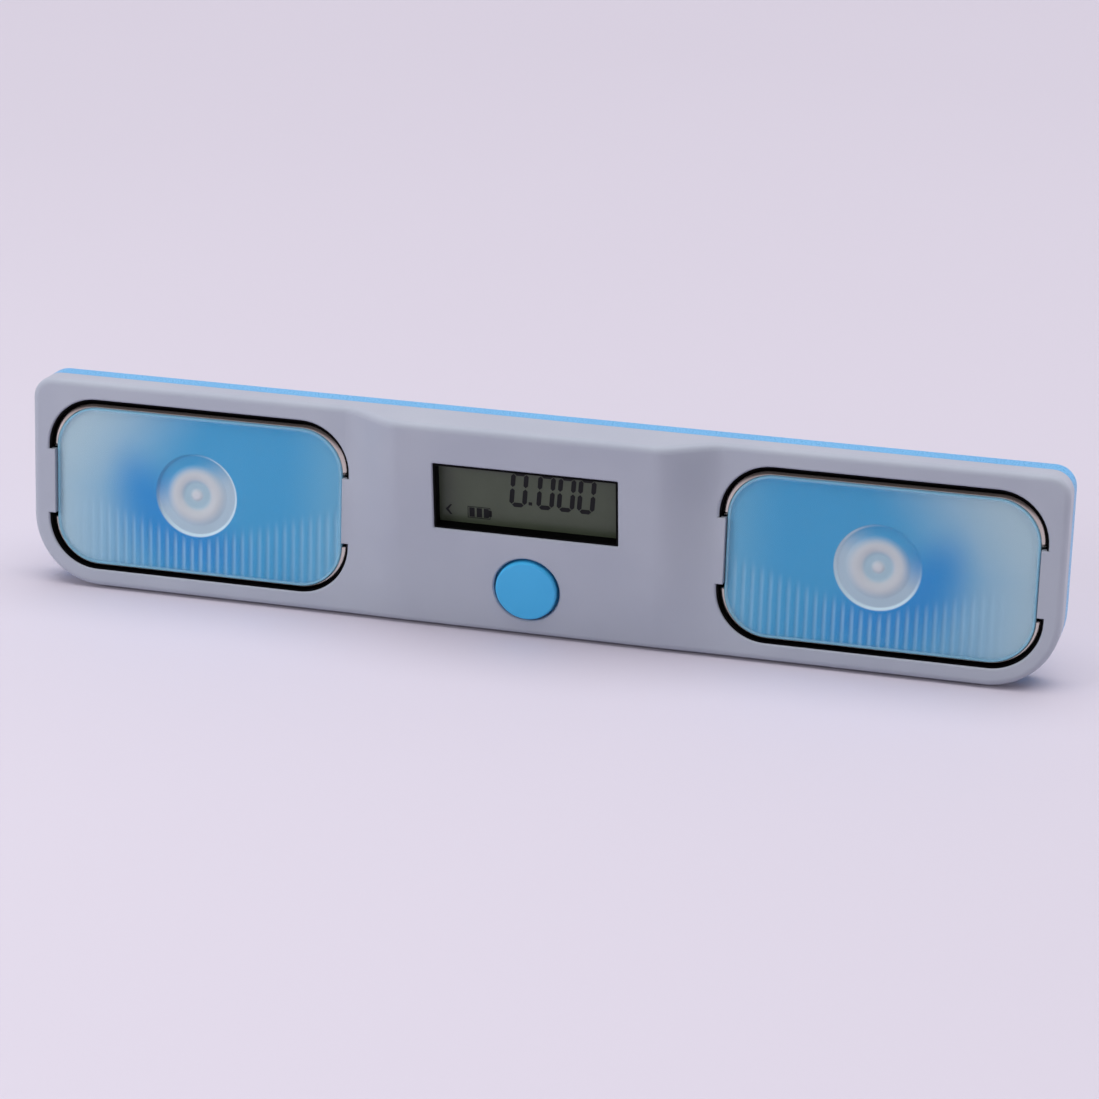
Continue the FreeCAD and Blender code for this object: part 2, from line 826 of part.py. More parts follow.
def power_button():
    """Round cap with a skirt, a flange that keeps it in the case, and a stem."""
    flange_front = wall + 2 * fit_gap
    crown_back = button_crown - button_proud
    plunger_front = board_front - switch_height - plunger_rest
    cap = rod(0, button_row, button_radius, -button_proud, flange_front)
    cap = cap.makeFillet(button_edge, edges_where(
        cap, lambda p: abs(p.y + button_proud) < near))
    cap = cap.fuse(rod(0, button_row, button_radius + button_flange, flange_front,
                       flange_front + button_flange_height))
    cap = cap.cut(rod(0, button_row, button_radius - button_skirt, crown_back, back_face))
    return leaning(cap.fuse(rod(0, button_row, stem_radius, crown_back - fit_gap,
                                plunger_front)))


def switch_plunger():
    front = board_front - switch_height
    return leaning(rod(0, button_row, plunger_radius, front - plunger_rest,
                       front + plunger_seat))


# ---------------------------------------------------------------- power

def coin_cell():
    """Can with the smaller negative cup proud of its front."""
    shoulder = cell_front + cell_step_height
    can = rod(0, cell_z, cell_radius, shoulder, cell_back)
    return can.fuse(rod(0, cell_z, cell_radius - cell_step, cell_front, shoulder))


def battery_cap():
    """Flush round cap that a coin turns: a plug ring and two lugs lock it."""
    seat = floor_face + cap_clear
    cap = rod(0, cell_z, cap_radius, seat, back_face)
    ring = rod(0, cell_z, cap_radius, floor_face - cap_plug_depth, seat)
    lugs = cap_lugs(cap_radius + cap_lug, cap_lug_angle, 0, floor_face - cap_plug_depth,
                    floor_face - cap_clear)
    cap = cap.fuse(ring.fuse(lugs).cut(
        rod(0, cell_z, cap_radius - cap_plug_wall, 0, seat)))
    slot = plate(0, cell_z, coin_slot_length, coin_slot_width, coin_slot_end, coin_slot_end,
                 back_face - coin_slot_depth, back_face + reach)
    return cap.cut(slot)


def board_back_y(z):
    """y of the leaning board's back at height z."""
    return (board_back - z * lean_sin) / lean_cos


def cell_contact_minus():
    """Leaf that rises from the board and lies flat under the cell."""
    def across(y_low, y_high):
        return [(board_back_y(cell_z - leaf_width) + y_low, cell_z - leaf_width),
                (board_back_y(cell_z - leaf_width / 2) + y_low, cell_z - leaf_width / 2),
                (cell_front - y_high, cell_z + leaf_width / 2),
                (cell_front - y_high, cell_z + leaf_width)]

    near = across(0, leaf)
    far = across(leaf, 0)
    points = [Vector(-leaf_width / 2, y, z) for y, z in near + far[::-1] + near[:1]]
    return Part.Face(Part.makePolygon(points)).extrude(Vector(leaf_width, 0, 0))


def cell_contact_plus():
    """Upright leaf beside the cell's rim, with its foot on the board."""
    x = cell_radius + leaf / 2
    low = cell_z - leaf_width / 2
    high = cell_z + leaf_width / 2
    top = cell_back - cap_plug_depth - cap_gap
    points = [Vector(x, y, z) for y, z in (
        (board_back_y(low), low), (top, low), (top, high), (board_back_y(high), high),
        (board_back_y(low), low))]
    return Part.Face(Part.makePolygon(points)).extrude(Vector(leaf, 0, 0))


# ---------------------------------------------------------------- cables

def main_socket_place():
    """y and z of the middle of a cable socket on the leaning board."""
    depth = board_back + socket_height / 2
    return (depth * lean_cos - socket_row * lean_sin,
            depth * lean_sin + socket_row * lean_cos)


def main_sockets():
    half = socket_length / 2
    return Part.makeCompound([
        leaning(block(sign * main_socket_x - half, sign * main_socket_x + half, board_back,
                      board_back + socket_height, socket_row - socket_width / 2,
                      socket_row + socket_width / 2)) for sign in sides.values()])


def sensor_socket(side):
    x = sides[side] * (pad_x - sensor_socket_x)
    half = socket_length / 2
    z = main_socket_place()[1]
    return block(x - half, x + half, sensor_back, sensor_back + socket_height,
                 z - socket_width / 2, z + socket_width / 2)


def sensor_cable(side):
    """Flat cable from the main board's socket to the sensor board's."""
    sign = sides[side]
    start_y, z = main_socket_place()
    end_y = sensor_back + socket_height / 2
    start_x = main_socket_x + socket_length / 2
    end_x = pad_x - sensor_socket_x - socket_length / 2
    edges = []
    for offset in (-cable_thickness / 2, cable_thickness / 2):
        curve = Part.BezierCurve()
        curve.setPoles([Vector(sign * px, py + offset, z - cable_width / 2) for px, py in (
            (start_x, start_y), (start_x + cable_bend, start_y), (end_x - cable_bend, end_y),
            (end_x, end_y))])
        edges.append(curve.toShape())
    strip = Part.makeRuledSurface(edges[0], edges[1])
    return strip.extrude(Vector(0, 0, cable_width))


# ---------------------------------------------------------------- fasteners and feet

def case_screws():
    return Part.makeCompound([
        screw(x, z, screw_radius, screw_head, screw_head_height, screw_length,
              back_face - screw_sink) for x, z in case_screw_places()])


def rubber_feet():
    feet = []
    for x, z in foot_places():
        foot = rod(x, z, foot_radius, back_face - foot_pocket, back_face + foot_proud)
        feet.append(foot.makeChamfer(foot_edge, edges_where(
            foot, lambda p: abs(p.y - back_face - foot_proud) < near)))
    return Part.makeCompound(feet)


# ---------------------------------------------------------------- the nodes

nodes = {
    "front_shell": front_shell(),
    "back_shell": back_shell(),
    "lcd_bezel": lcd_bezel(),
    "lcd_glass": lcd_glass(),
    "lcd_reflector": lcd_reflector(),
    "zebra_strips": zebra_strips(),
    "main_board": main_board(),
    "board_screws": board_screws(),
    "controller_chip": controller_chip(),
    "crystal": crystal(),
    "board_components": board_components(),
    "buzzer": buzzer(),
    "switch_body": switch_body(),
    "switch_plunger": switch_plunger(),
    "power_button": power_button(),
    "coin_cell": coin_cell(),
    "cell_contact_plus": cell_contact_plus(),
    "cell_contact_minus": cell_contact_minus(),
    "battery_cap": battery_cap(),
    "main_sockets": main_sockets(),
    "sensor_board_screws": sensor_board_screws(),
    "case_screws": case_screws(),
    "rubber_feet": rubber_feet(),
}
for name in sides:
    nodes[name + "_pad_lens"] = pad_lens(name)
    nodes[name + "_pad_diffuser"] = pad_diffuser(name)
    nodes[name + "_pad_cradle"] = pad_cradle(name)
    nodes[name + "_upper_trim"] = slot_trim(name, True)
    nodes[name + "_lower_trim"] = slot_trim(name, False)
    nodes[name + "_touch_ring"] = touch_ring(name)
    nodes[name + "_pad_led"] = pad_led(name)
    nodes[name + "_sensor_board"] = sensor_board(name)
    nodes[name + "_sensor_socket"] = sensor_socket(name)
    nodes[name + "_sensor_cable"] = sensor_cable(name)

os.makedirs("parts", exist_ok=True)
for name, shape in nodes.items():
    shape.translate(Vector(0, case_y, 0))
    shape.exportStep("parts/" + name + ".step")
    print(name, len(shape.Solids), shape.isValid(), round(shape.Volume / 1000, 3), "cm3")
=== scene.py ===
# %% [markdown]
# # Speed cube timer
#
# A slim bar timer that stands on its long lower edge. The shells, boards, screws and the
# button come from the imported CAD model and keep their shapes. This lesson gives every one
# of them a finish and adds the surfaces that a solid modeller makes badly: the fluted pad
# plates with their dished eyes, the sloped trim strips in the slots and the display's
# segments. Each new surface is worked out with numpy as whole arrays.

# %% Load the frame
import json
import math

import bmesh
import bpy
import numpy as np
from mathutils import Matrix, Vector


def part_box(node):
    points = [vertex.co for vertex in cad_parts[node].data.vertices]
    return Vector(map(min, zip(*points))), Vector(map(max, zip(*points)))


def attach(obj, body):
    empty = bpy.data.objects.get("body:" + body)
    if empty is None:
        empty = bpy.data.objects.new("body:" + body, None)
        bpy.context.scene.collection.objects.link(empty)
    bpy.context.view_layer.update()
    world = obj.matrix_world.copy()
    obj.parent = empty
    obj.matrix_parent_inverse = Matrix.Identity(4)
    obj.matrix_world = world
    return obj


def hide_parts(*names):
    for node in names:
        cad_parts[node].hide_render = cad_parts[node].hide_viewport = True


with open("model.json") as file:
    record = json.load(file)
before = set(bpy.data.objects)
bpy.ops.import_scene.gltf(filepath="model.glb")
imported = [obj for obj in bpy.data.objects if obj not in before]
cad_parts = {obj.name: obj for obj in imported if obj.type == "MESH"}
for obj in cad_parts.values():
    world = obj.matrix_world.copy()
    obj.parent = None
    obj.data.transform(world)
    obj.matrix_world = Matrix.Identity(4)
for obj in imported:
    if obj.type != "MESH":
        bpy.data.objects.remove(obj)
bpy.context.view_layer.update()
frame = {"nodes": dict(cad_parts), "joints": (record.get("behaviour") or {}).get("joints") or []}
nodes = frame["nodes"]
MM = 0.001

# %% [markdown]
# ## Where things are
#
# Everything is placed from the frame. The pads and the display glass tell where they lie,
# and the button's joint tells how far the middle leans, because the button travels square
# to the leaning face. Two small helpers turn "so far below the face, so far up the slope"
# into a place in the scene.

# %% Places taken from the frame
PAD_SINK = 0.6 * MM                 # a pad's cover lies this far below the flat ends


def middle_of(node):
    """Centre of a node's box."""
    low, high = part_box(node)
    return (low + high) / 2


press = next(joint for joint in frame["joints"] if joint["name"] == "button_press")
LEAN = math.atan2(press["axis"][2], press["axis"][1])
FACE_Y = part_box("left_pad_lens")[0].y - PAD_SINK
PAD_X = middle_of("right_pad_lens").x
PAD_Z = middle_of("right_pad_lens").z
print("lean:", round(math.degrees(LEAN), 2), "deg, pads at x =", round(PAD_X / MM, 2), "mm")


def on_slope(x, depth, up):
    """Points in mm of the leaning middle: x along the bar, depth below its face, up its slope.

    The slope's own axes are turned about the X axis by the lean, and the foot of the
    slope lies at y = FACE_Y on the floor.
    """
    x, depth, up = np.broadcast_arrays(x, depth, up)
    return np.stack([x,
                     FACE_Y / MM + depth * math.cos(LEAN) - up * math.sin(LEAN),
                     depth * math.sin(LEAN) + up * math.cos(LEAN)], axis=-1)


def slope_span(node):
    """Least and greatest (depth, way up the slope) that a CAD node reaches."""
    mesh = nodes[node].data
    points = np.empty(3 * len(mesh.vertices))
    mesh.vertices.foreach_get("co", points)
    y, z = points[1::3] - FACE_Y, points[2::3]
    depth = y * math.cos(LEAN) + z * math.sin(LEAN)
    up = z * math.cos(LEAN) - y * math.sin(LEAN)
    return (depth.min(), up.min()), (depth.max(), up.max())


GLASS_DEPTH = slope_span("lcd_glass")[0][0]
print("display glass lies", round(GLASS_DEPTH / MM, 2), "mm deep")


# %% [markdown]
# ## A mesh from arrays
#
# A surface is a table of points, one row after another, and its faces join each point to
# its neighbours. `loops_to_faces` builds the index table for rings that close on
# themselves, and `new_piece` fills a mesh with `foreach_set`, which is many times faster
# than adding vertices one by one. The piece then rides on its body, takes its finish,
# and hides the CAD nodes it stands for.

# %% Helpers that turn arrays into pieces
def loops_to_faces(rows, columns, closed):
    """Quads between neighbouring rows of points; a closed row joins its end to its start."""
    row = np.arange(rows - 1)[:, None]
    column = np.arange(columns if closed else columns - 1)[None, :]
    following = (column + 1) % columns
    corners = [row * columns + column, row * columns + following,
               (row + 1) * columns + following, (row + 1) * columns + column]
    return np.stack(np.broadcast_arrays(*corners), axis=-1).reshape(-1, 4)


def new_piece(name, points, faces, material, body, stands_for=(), smooth=True):
    """Make an object from points (n, 3) and a list of face tables, one per corner count."""
    points = np.asarray(points, dtype=np.float64).reshape(-1, 3)
    mesh = bpy.data.meshes.new(name)
    mesh.vertices.add(len(points))
    mesh.vertices.foreach_set("co", points.ravel())
    corners = np.concatenate([table.ravel() for table in faces])
    sizes = np.concatenate([np.full(len(table), table.shape[1]) for table in faces])
    mesh.loops.add(len(corners))
    mesh.loops.foreach_set("vertex_index", corners.astype(np.int32))
    mesh.polygons.add(len(sizes))
    mesh.polygons.foreach_set("loop_start", (np.cumsum(sizes) - sizes).astype(np.int32))
    mesh.update(calc_edges=True)
    shell = bmesh.new()
    shell.from_mesh(mesh)
    bmesh.ops.recalc_face_normals(shell, faces=shell.faces)
    shell.to_mesh(mesh)
    shell.free()
    mesh.polygons.foreach_set("use_smooth", np.full(len(mesh.polygons), smooth))
    mesh.materials.append(material)
    piece = bpy.data.objects.new(name, mesh)
    bpy.context.scene.collection.objects.link(piece)
    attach(piece, body)
    if stands_for:
        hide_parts(*stands_for)
    print(name, "points:", len(points), "faces:", len(mesh.polygons))
    return piece


# %% [markdown]
# ## Building materials
#
# Colours are written as the hex values that a designer would pick on a screen, and one
# function turns them into the linear numbers that the shader works in. One more function
# adds a node: inputs that are sockets are linked, other inputs are set, and keyword
# settings go onto the node itself.

# %% Helpers for materials
def linear(hex_colour):
    """sRGB hex to linear RGBA: v / 12.92 near black, otherwise ((v + 0.055) / 1.055) ** 2.4."""
    values = [int(hex_colour[i:i + 2], 16) / 255 for i in (1, 3, 5)]
    return [v / 12.92 if v <= 0.04045 else ((v + 0.055) / 1.055) ** 2.4
            for v in values] + [1.0]


def add(tree, kind, inputs=None, **settings):
    """Add a node; inputs maps a socket's name or number to a socket or a value."""
    node = tree.nodes.new(kind)
    for key, value in settings.items():
        setattr(node, key, value)
    for key, value in (inputs or {}).items():
        if isinstance(value, bpy.types.NodeSocket):
            tree.links.new(value, node.inputs[key])
        else:
            node.inputs[key].default_value = value
    return node


def new_material(name, **values):
    """A material with its Principled shader; values are set on the shader's sockets."""
    material = bpy.data.materials.new(name)
    material.use_nodes = True
    shader = material.node_tree.nodes["Principled BSDF"]
    for key, value in values.items():
        shader.inputs[key.replace("_", " ")].default_value = value
    return material, material.node_tree, shader


def place_in_mm(tree):
    """Object coordinates in millimetres."""
    place = add(tree, "ShaderNodeTexCoord").outputs["Object"]
    return add(tree, "ShaderNodeVectorMath", {0: place, "Scale": 1 / MM},
               operation="SCALE").outputs["Vector"]


def in_range(tree, value, low, high):
    """0 where value is at low, 1 where it is at high, held outside and smooth between."""
    return add(tree, "ShaderNodeMapRange",
               {"Value": value, "From Min": low, "From Max": high},
               interpolation_type="SMOOTHSTEP").outputs["Result"]


def blend_colours(tree, share, first, second, mode="MIX"):
    """first where share is 0 and second where it is 1."""
    return add(tree, "ShaderNodeMix", {"Factor": share, 6: first, 7: second},
               data_type="RGBA", blend_type=mode).outputs[2]


# %% [markdown]
# ## Moulded plastics
#
# The shells are ABS from a mould whose steel was spark-eroded, which leaves a fine even
# grain that breaks highlights up into a satin sheen. The grain of such a mould is about
# 0.1 mm. That is finer than the picture can show, so it is drawn at 0.35 mm. A second,
# much larger and very faint pattern stands for the slow drift of colour that flow lines
# leave in a long part.

# %% A satin moulded plastic in any colour
def satin_abs(name, colour, flow_colour, grain_mm=0.35, roughness=0.42, relief=0.10,
              gloss=0.5, edge_mm=0.0):
    """Grainy satin ABS: colour drifts to flow_colour, and the grain lifts the surface.

    Where edge_mm is given, sharp edges take the light as if they were that round.
    """
    material, tree, shader = new_material(name, IOR=1.53, Specular_IOR_Level=gloss)
    place = place_in_mm(tree)
    flow = add(tree, "ShaderNodeTexNoise", {"Vector": place, "Scale": 1 / 22, "Detail": 2.0})
    grain = add(tree, "ShaderNodeTexNoise",
                {"Vector": place, "Scale": 1 / grain_mm, "Detail": 3.0, "Roughness": 0.6})
    drift = in_range(tree, flow.outputs["Fac"], 0.35, 0.65)
    shade = blend_colours(tree, drift, linear(colour), linear(flow_colour))
    tree.links.new(shade, shader.inputs["Base Color"])
    rough = add(tree, "ShaderNodeMapRange",
                {"Value": grain.outputs["Fac"], "From Min": 0.3, "From Max": 0.7,
                 "To Min": roughness - 0.05, "To Max": roughness + 0.07})
    tree.links.new(rough.outputs["Result"], shader.inputs["Roughness"])
    bump = add(tree, "ShaderNodeBump",
               {"Height": grain.outputs["Fac"], "Strength": relief, "Distance": 0.03 * MM})
    if edge_mm:
        edge = add(tree, "ShaderNodeBevel", {"Radius": edge_mm * MM}, samples=8)
        tree.links.new(edge.outputs["Normal"], bump.inputs["Normal"])
    tree.links.new(bump.outputs["Normal"], shader.inputs["Normal"])
    return material


shell_grey = satin_abs("shell_satin_abs_grey", "#A9AEBB", "#A5AAB8", edge_mm=0.4)
shell_blue = satin_abs("shell_satin_abs_blue", "#4AA6DB", "#45A1D7", roughness=0.28,
                       edge_mm=0.3)
button_blue = satin_abs("button_satin_abs_blue", "#3FAEE4", "#3AA9E0", relief=0.06,
                        edge_mm=0.3)
black_abs = satin_abs("lining_matt_abs_black", "#040405", "#060607", roughness=0.5,
                      gloss=0.05)
led_epoxy = satin_abs("led_epoxy_milky", "#E9EAE6", "#E2E4DE", roughness=0.3)
socket_nylon = satin_abs("socket_nylon_ivory", "#DDD5BE", "#D6CDB4", roughness=0.5)
cable_vinyl = satin_abs("cable_vinyl_grey", "#A9A9AB", "#A3A3A6", roughness=0.45)
chip_epoxy = satin_abs("chip_epoxy_black", "#121214", "#17171A", grain_mm=0.2, roughness=0.6)
foot_rubber = satin_abs("foot_rubber_black", "#1C1C1F", "#212124", grain_mm=0.6,
                        roughness=0.75, relief=0.3)
seal_rubber = satin_abs("contact_strip_rubber", "#141416", "#2A2A2C", grain_mm=0.25,
                        roughness=0.7)
print("moulded finishes made")

# %% [markdown]
# ## Metals, board and glass
#
# The metals keep the default index of refraction and differ in colour, roughness and the
# direction of their fine lines. The circuit boards are glass-fibre laminate under green
# solder mask, and the mask stands a little proud over the copper tracks. The display is a
# grey-green liquid crystal cell behind a matt polariser film.

# %% Metal finishes
def drawn_metal(name, colour, roughness, line_mm, stretch):
    """Metal with fine lines; stretch gives the pattern's size ratio along X, Y and Z."""
    material, tree, shader = new_material(name, Metallic=1.0)
    place = place_in_mm(tree)
    stretched = add(tree, "ShaderNodeMapping", {"Vector": place, "Scale": stretch})
    lines = add(tree, "ShaderNodeTexNoise",
                {"Vector": stretched.outputs["Vector"], "Scale": 1 / line_mm, "Detail": 4.0})
    tone = add(tree, "ShaderNodeHueSaturation",
               {"Color": linear(colour),
                "Value": add(tree, "ShaderNodeMapRange",
                             {"Value": lines.outputs["Fac"], "To Min": 0.85,
                              "To Max": 1.12}).outputs["Result"]})
    tree.links.new(tone.outputs["Color"], shader.inputs["Base Color"])
    rough = add(tree, "ShaderNodeMapRange",
                {"Value": lines.outputs["Fac"], "To Min": roughness - 0.08,
                 "To Max": roughness + 0.08})
    tree.links.new(rough.outputs["Result"], shader.inputs["Roughness"])
    return material


trim_nickel = drawn_metal("trim_satin_nickel", "#CFC8BF", 0.2, 0.25, (1, 6, 1))
screw_zinc = drawn_metal("screw_zinc_plate", "#A9ABAE", 0.32, 0.2, (1, 4, 1))
cell_nickel = drawn_metal("cell_nickel_plate", "#C2C3C6", 0.22, 0.15, (1, 1, 8))
spring_brass = drawn_metal("spring_brass", "#C9A556", 0.28, 0.2, (8, 1, 1))
print("metal finishes made")


# %% Solder mask over tracks
def solder_mask():
    """Green board: dark laminate, with lighter raised lines 0.4 mm wide over the tracks."""
    material, tree, shader = new_material("board_solder_mask_green", Roughness=0.35, IOR=1.5)
    place = place_in_mm(tree)
    tracks = add(tree, "ShaderNodeTexBrick",
                 {"Vector": add(tree, "ShaderNodeMapping",
                                {"Vector": place,
                                 "Rotation": (math.pi / 2, 0, 0)}).outputs["Vector"],
                  "Scale": 1.0, "Mortar Size": 0.2, "Mortar Smooth": 0.3,
                  "Brick Width": 5.0, "Row Height": 1.6,
                  "Color1": linear("#0B4A2B"), "Color2": linear("#0D5230"),
                  "Mortar": linear("#1B7A48")})
    tree.links.new(tracks.outputs["Color"], shader.inputs["Base Color"])
    bump = add(tree, "ShaderNodeBump",
               {"Height": tracks.outputs["Fac"], "Strength": 0.4, "Distance": 0.05 * MM})
    tree.links.new(bump.outputs["Normal"], shader.inputs["Normal"])
    return material


board_green = solder_mask()


# %% Display cell and its reflector
def display_cell():
    """Grey-green twisted-nematic cell; the matt polariser scatters, with faint mottling."""
    material, tree, shader = new_material("display_polariser_matt", Roughness=0.38, IOR=1.5)
    place = place_in_mm(tree)
    mottle = add(tree, "ShaderNodeTexNoise", {"Vector": place, "Scale": 1 / 6, "Detail": 3.0})
    film = add(tree, "ShaderNodeTexNoise", {"Vector": place, "Scale": 1 / 0.3, "Detail": 2.0})
    tint = blend_colours(tree, mottle.outputs["Fac"], linear("#3E4637"), linear("#485040"))
    tree.links.new(tint, shader.inputs["Base Color"])
    bump = add(tree, "ShaderNodeBump",
               {"Height": film.outputs["Fac"], "Strength": 0.1, "Distance": 0.01 * MM})
    tree.links.new(bump.outputs["Normal"], shader.inputs["Normal"])
    return material


display_glass = display_cell()
display_back = satin_abs("reflector_foil_grey", "#8B8F84", "#979B8E", roughness=0.35)
segment_ink = satin_abs("segment_black", "#0E0F11", "#121316", roughness=0.5, gloss=0.2)
print("display finishes made")

# %% [markdown]
# ## The pads
#
# Each pad is a sandwich. The cover is polished polycarbonate with a slight haze and a painted
# highlight along its edge. Under it lies a plate of dyed acrylic with flutes that rise from its
# lower edge, and a dished eye in its middle that spreads the light of one diode. The plate's
# blue is deepest below the eye on its outer side, and grows paler towards the outer end, most
# of all at its upper corner. Painted light lies over it: pale painted highlights in the flutes,
# along the plate's rim and on the eye's lip, and the eye's lower side painted pale as the lit
# side of its dish. Both pads are mirror images, so the colour is worked out from the distance
# to the middle of the bar and one material serves both.

# %% The dyed acrylic
EYE_RADIUS = 10.1
EYE_SHIFT = -0.7                    # both eyes lie this far along the bar from the pads' middles
RING_RADIUS = 4.8                   # of the pale ring in the eye


def dyed_acrylic():
    """Base colour from u, outwards from a pad's centre, z above it and their distance r, with
    painted highlights and the eye's painted light laid over it.
    """
    material, tree, shader = new_material("pad_plate_dyed_acrylic", Roughness=0.3, IOR=1.49,
                                          Specular_IOR_Level=0.35)
    place = add(tree, "ShaderNodeSeparateXYZ", {0: place_in_mm(tree)})
    shifted = add(tree, "ShaderNodeMath", {0: place.outputs["X"], 1: EYE_SHIFT},
                  operation="SUBTRACT")
    along = add(tree, "ShaderNodeMath", {0: shifted.outputs[0]}, operation="ABSOLUTE")
    u = add(tree, "ShaderNodeMath", {0: along.outputs[0], 1: PAD_X / MM},
            operation="SUBTRACT").outputs[0]
    z = add(tree, "ShaderNodeMath", {0: place.outputs["Z"], 1: PAD_Z / MM},
            operation="SUBTRACT").outputs[0]
    flat = add(tree, "ShaderNodeCombineXYZ", {"X": u, "Y": z})
    r = add(tree, "ShaderNodeVectorMath", {0: flat.outputs[0]},
            operation="LENGTH").outputs["Value"]

    upper = add(tree, "ShaderNodeMath", {0: z, 1: 0.0}, operation="MAXIMUM")
    slant = add(tree, "ShaderNodeMath", {0: in_range(tree, u, -20, 0), 1: 0.6},
                operation="MULTIPLY")
    tilted = add(tree, "ShaderNodeMath",
                 {0: upper.outputs[0], 1: slant.outputs[0], 2: u}, operation="MULTIPLY_ADD")
    # The blue grows paler towards the outer end and most of all at its upper corner, changes
    # tone again at the inner end, and is deepest below the eye on its outer side.
    paler_outwards = in_range(tree, tilted.outputs[0], 5, 40)
    colour_and_painted_light = blend_colours(tree, paler_outwards, linear("#3399CC"), linear("#AAC4D0"))
    inner_end = in_range(tree, tilted.outputs[0], -20, -40)
    colour_and_painted_light = blend_colours(tree, inner_end, colour_and_painted_light, linear("#66AACC"))
    below = add(tree, "ShaderNodeVectorMath", {0: flat.outputs[0], 1: (0.6, -0.8, 0.0)},
                operation="DOT_PRODUCT").outputs["Value"]
    deepest_below_eye = add(tree, "ShaderNodeMath",
                {0: in_range(tree, r, 25, 11.5), 1: in_range(tree, below, -3, 9)},
                operation="MULTIPLY")
    colour_and_painted_light = blend_colours(tree, deepest_below_eye.outputs[0], colour_and_painted_light, linear("#0885CB"))

    # Painted highlights: pale streaks in the flutes, read from an attribute of the plate.
    flute_highlight = add(tree, "ShaderNodeAttribute", attribute_name="flute").outputs["Fac"]
    colour_and_painted_light = blend_colours(tree, flute_highlight, colour_and_painted_light, linear("#BFE2F4"))
    # A painted highlight: a pale line along the plate's front edge, read from an attribute of
    # the plate.
    rim_highlight = add(tree, "ShaderNodeAttribute", attribute_name="rim_highlight").outputs["Fac"]
    colour_and_painted_light = blend_colours(tree, rim_highlight, colour_and_painted_light, linear("#B9E3F6"))

    # Painted light: inside the eye, its lower inner side is painted pale as the lit side of the
    # dish, while its upper outer side keeps the plate's blue as the shaded side.
    eye_slant = add(tree, "ShaderNodeMath", {0: u, 1: 0.5, 2: z}, operation="MULTIPLY_ADD")
    lit_lower_side = in_range(tree, eye_slant.outputs[0], 9, -2)
    inside = in_range(tree, r, EYE_RADIUS + 0.2, EYE_RADIUS - 0.6)
    pale = add(tree, "ShaderNodeMath", {0: lit_lower_side, 1: inside}, operation="MULTIPLY")
    colour_and_painted_light = blend_colours(tree, pale.outputs[0], colour_and_painted_light, linear("#AFC3D1"))
    ring = add(tree, "ShaderNodeMath", {0: r, 1: RING_RADIUS}, operation="SUBTRACT")
    ring = add(tree, "ShaderNodeMath", {0: ring.outputs[0]}, operation="ABSOLUTE")
    ring = in_range(tree, ring.outputs[0], 2.9, 0.3)
    colour_and_painted_light = blend_colours(tree, ring, colour_and_painted_light, linear("#CACDD0"))
    core = in_range(tree, r, 3.9, 2.9)
    colour_and_painted_light = blend_colours(tree, core, colour_and_painted_light, linear("#A6C1CF"))
    bead = in_range(tree, r, 2.0, 0.6)
    colour_and_painted_light = blend_colours(tree, bead, colour_and_painted_light, linear("#D0D2D6"))
    # A painted highlight on the eye's lip: a pale line just inside the dish's edge, strongest on
    # its inner side and gone on its upper outer side.
    lip = add(tree, "ShaderNodeMath", {0: r, 1: EYE_RADIUS - 0.35}, operation="SUBTRACT")
    lip = add(tree, "ShaderNodeMath", {0: lip.outputs[0]}, operation="ABSOLUTE")
    lip = in_range(tree, lip.outputs[0], 0.5, 0.1)
    upper_outer = add(tree, "ShaderNodeMath", {0: u, 1: z}, operation="ADD")
    lip = add(tree, "ShaderNodeMath",
              {0: lip, 1: in_range(tree, upper_outer.outputs[0], 13, -2)},
              operation="MULTIPLY")
    colour_and_painted_light = blend_colours(tree, lip.outputs[0], colour_and_painted_light, linear("#CDE2EE"))
    tree.links.new(colour_and_painted_light, shader.inputs["Base Color"])

    bubbles = add(tree, "ShaderNodeTexNoise",
                  {"Vector": place_in_mm(tree), "Scale": 1 / 0.8, "Detail": 2.0})
    bump = add(tree, "ShaderNodeBump",
               {"Height": bubbles.outputs["Fac"], "Strength": 0.04, "Distance": 0.02 * MM})
    tree.links.new(bump.outputs["Normal"], shader.inputs["Normal"])
    return material


pad_plate = dyed_acrylic()


# %% The clear cover
COVER_CORNER = 10.3


